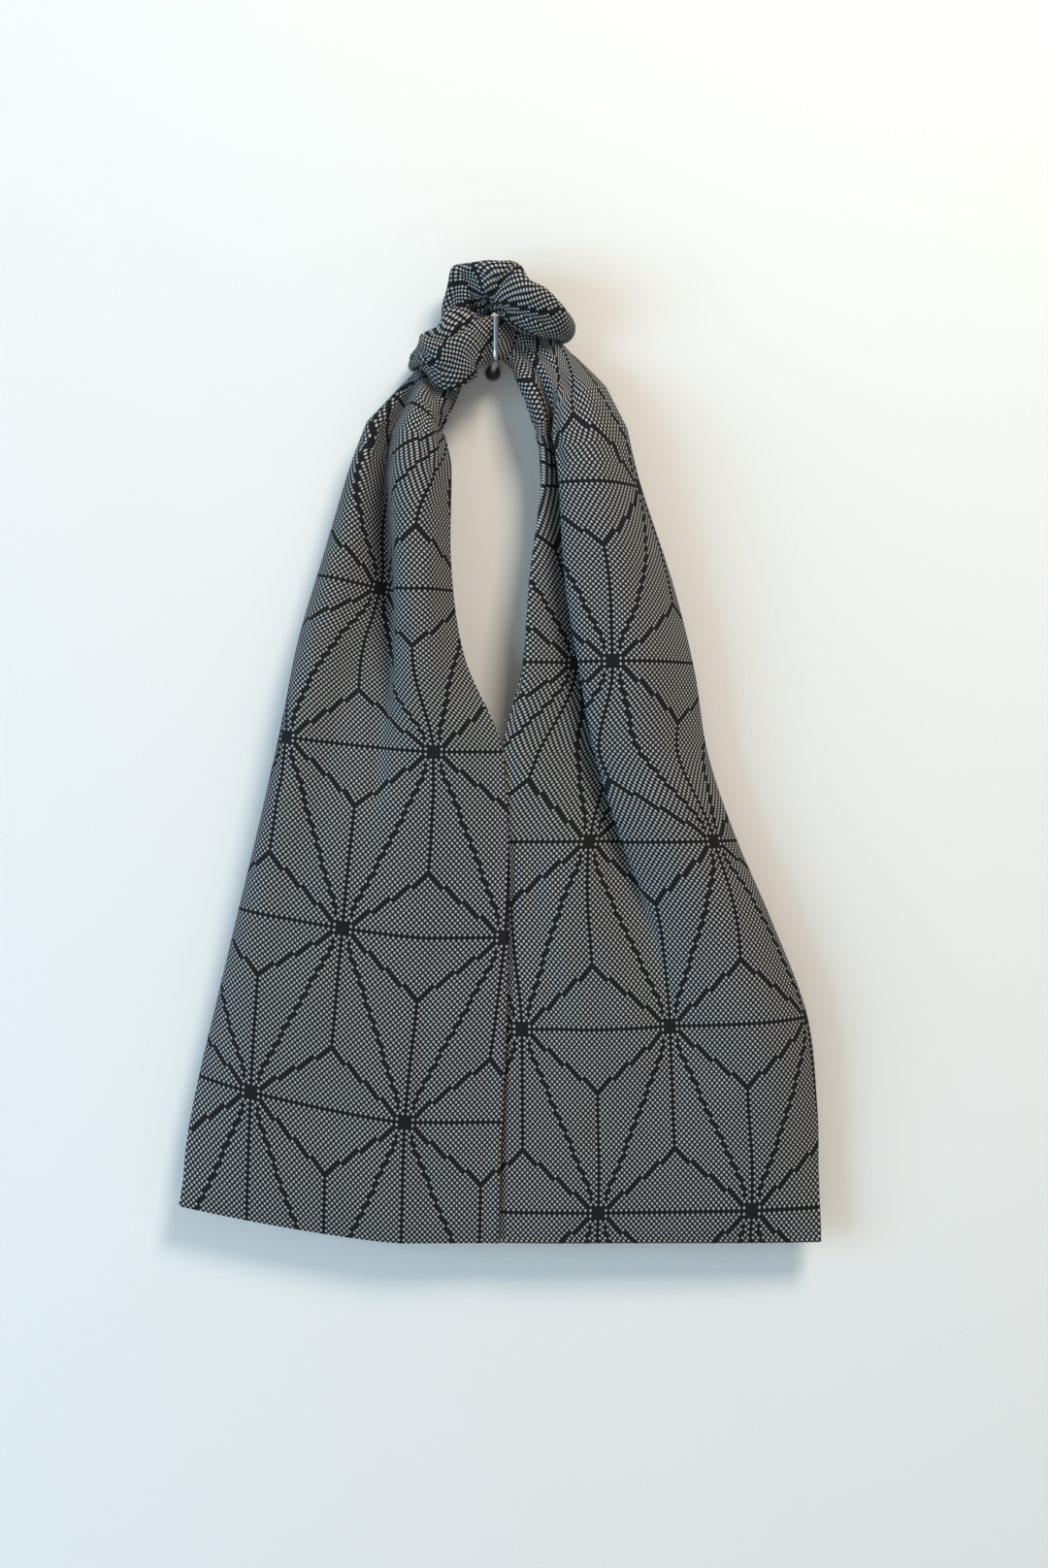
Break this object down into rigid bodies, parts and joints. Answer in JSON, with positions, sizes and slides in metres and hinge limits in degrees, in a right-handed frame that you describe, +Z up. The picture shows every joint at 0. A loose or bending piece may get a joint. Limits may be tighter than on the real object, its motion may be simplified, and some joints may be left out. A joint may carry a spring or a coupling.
{
  "type": "knot bag on a wall hook",
  "caption": "Flat cloth bag of joined strips whose tapering handles are tied in a knot over a small bent wire wall hook.",
  "frame": {"origin": "centre of the hook collar's back face, on the wall", "axes": "+Z up along the hanging bag, +X to the viewer's right, +Y into the wall"},
  "size_m": [0.323, 0.0422, 0.4934],
  "materials": {
    "cloth_left": "near-black plain weave with rows of small off-white dots that leave a thin dark hemp leaf line pattern",
    "cloth_right": "the same near-black cloth with off-white dots and the hemp leaf line pattern",
    "wire": "bright plated steel wire",
    "collar": "dark plated steel"
  },
  "bodies": {
    "root": {"left_panel": "cloth_left", "right_panel": "cloth_right", "hook_wire": "wire", "hook_collar": "collar"}
  },
  "joints": []
}
